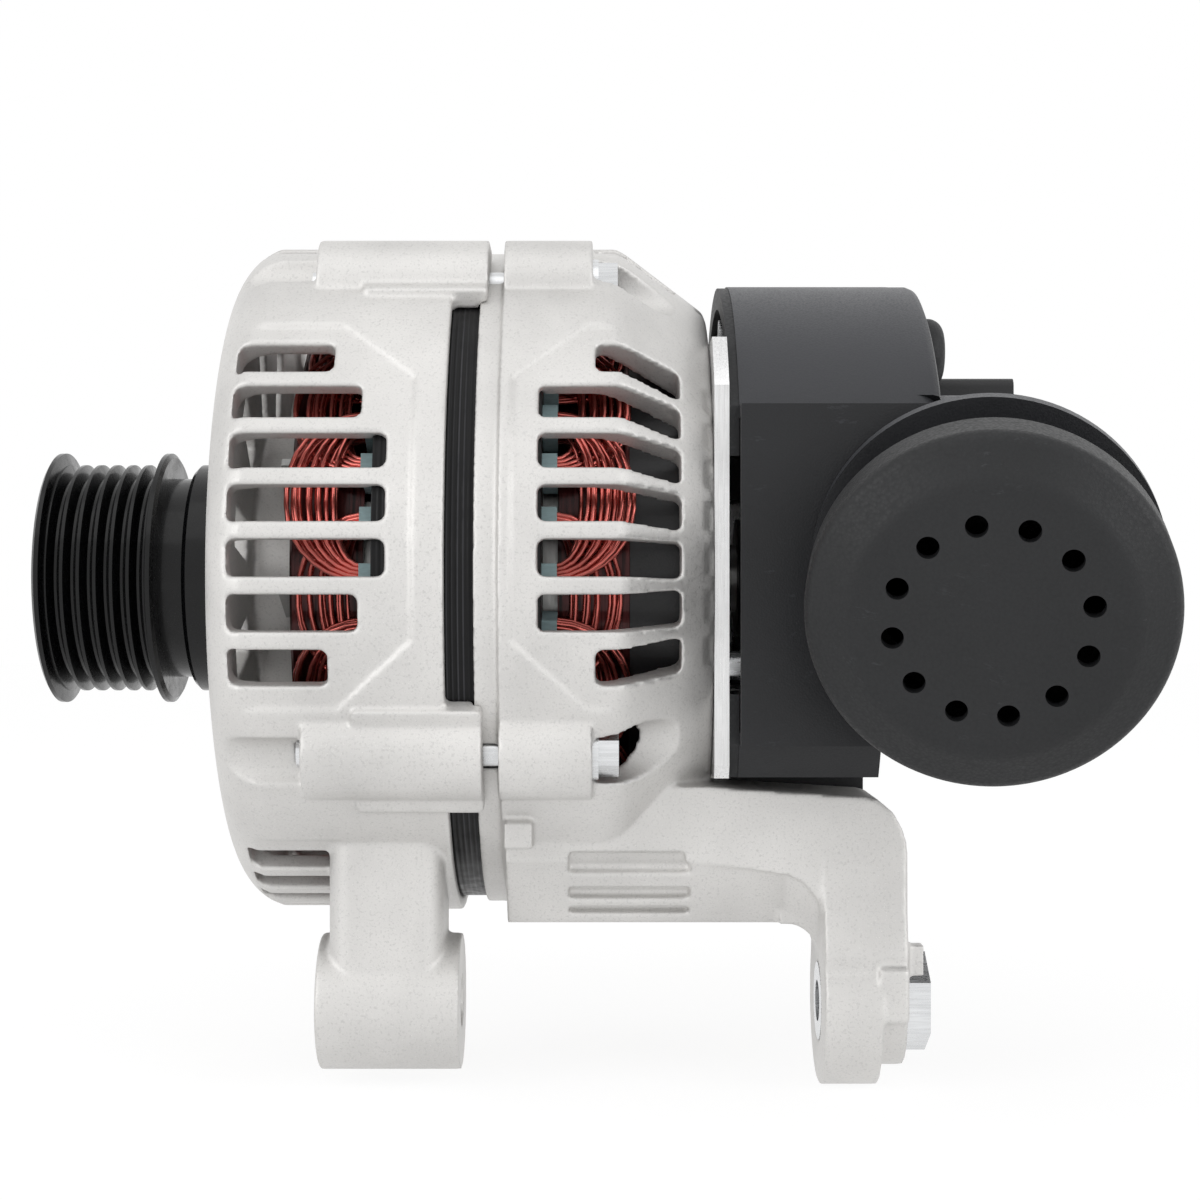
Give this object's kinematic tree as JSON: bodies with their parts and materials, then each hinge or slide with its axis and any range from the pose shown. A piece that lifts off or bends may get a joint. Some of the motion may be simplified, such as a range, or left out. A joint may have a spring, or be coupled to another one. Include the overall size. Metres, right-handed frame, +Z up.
{
  "type": "generator alternator head",
  "caption": "Belt-driven alternator head with claw-pole rotor, windowed aluminium brackets, rear cover, air duct with vented cap, and pivot feet.",
  "frame": {"origin": "on the rotor shaft's axis, in the belt's centre plane", "axes": "+X along the shaft from the pulley to the rear cover, +Z up away from the pivot feet, the air duct's mouth towards -Y"},
  "size_m": [0.2316, 0.1818, 0.1795],
  "materials": {
    "cast_aluminium": "sand-blasted cast aluminium, fine grain",
    "rolled_aluminium": "bright rolled sheet",
    "black_steel": "gloss black coating on turned steel",
    "zinc_steel": "bright zinc plating",
    "plain_steel": "plain steel",
    "bearing_steel": "ground bearing steel",
    "lamination": "black varnished laminations",
    "enamelled_copper": "dark red enamelled copper wire",
    "bare_copper": "bare copper",
    "slot_liner": "pale insulating paper",
    "cover_plastic": "moulded black plastic, fine grain",
    "cap_rubber": "matt black rubber",
    "socket_plastic": "moulded black plastic",
    "carbon": "carbon",
    "spring_steel": "spring wire",
    "diode_can": "nickel plated can"
  },
  "bodies": {
    "housing": {"air_duct": "cover_plastic", "bearing_retainer": "plain_steel", "brush_holder": "socket_plastic", "brush_spring_front": "spring_steel", "brush_spring_rear": "spring_steel", "cover_posts": "zinc_steel", "cover_screws": "zinc_steel", "cover_seal": "cap_rubber", "diodes": "diode_can", "end_turns_front": "enamelled_copper", "end_turns_rear": "enamelled_copper", "foot_bush": "zinc_steel", "front_bearing_balls": "bearing_steel", "front_bearing_outer_race": "bearing_steel", "front_bearing_seals": "cap_rubber", "front_bracket": "cast_aluminium", "front_foot": "cast_aluminium", "output_stud": "zinc_steel", "output_stud_nut": "zinc_steel", "plug_socket": "socket_plastic", "rear_arm": "cast_aluminium", "rear_bearing_balls": "bearing_steel", "rear_bearing_outer_race": "bearing_steel", "rear_bearing_seals": "cap_rubber", "rear_bearing_sleeve": "socket_plastic", "rear_bracket": "cast_aluminium", "rear_cover": "cover_plastic", "rear_hub": "cast_aluminium", "rectifier_base_plate": "rolled_aluminium", "rectifier_board": "socket_plastic", "rectifier_live_plate": "rolled_aluminium", "rectifier_screws": "zinc_steel", "rectifier_spacers": "zinc_steel", "regulator": "socket_plastic", "retainer_screws": "zinc_steel", "slot_conductors": "enamelled_copper", "slot_liners": "slot_liner", "socket_pins": "bare_copper", "stator_core": "lamination", "stud_boot": "cap_rubber", "through_bolts": "zinc_steel", "vent_cap": "cap_rubber"},
    "rotor": {"shaft": "plain_steel", "pulley": "black_steel", "pulley_washer": "zinc_steel", "pulley_nut": "zinc_steel", "pulley_collar": "black_steel", "claw_pole_front": "plain_steel", "claw_pole_rear": "plain_steel", "coil_bobbin": "socket_plastic", "field_coil": "enamelled_copper", "fan_front": "plain_steel", "fan_rear": "plain_steel", "slip_ring_sleeve": "socket_plastic", "slip_ring_front": "bare_copper", "slip_ring_rear": "bare_copper", "front_bearing_inner_race": "bearing_steel", "rear_bearing_inner_race": "bearing_steel"},
    "brush_front": {"brush_front": "carbon"},
    "brush_rear": {"brush_rear": "carbon"}
  },
  "joints": [
    {"name": "rotor_spin", "type": "hinge", "parent": "housing", "child": "rotor", "pos_m": [0, 0, 0], "axis": [1, 0, 0], "continuous": true},
    {"name": "brush_front_slide", "type": "slide", "parent": "housing", "child": "brush_front", "axis": [0, 0, 1], "range_m": [0, 0.005], "stiffness_N_per_m": 150, "deforming": ["brush_spring_front"]},
    {"name": "brush_rear_slide", "type": "slide", "parent": "housing", "child": "brush_rear", "axis": [0, 0, 1], "range_m": [0, 0.005], "stiffness_N_per_m": 150, "deforming": ["brush_spring_rear"]}
  ]
}
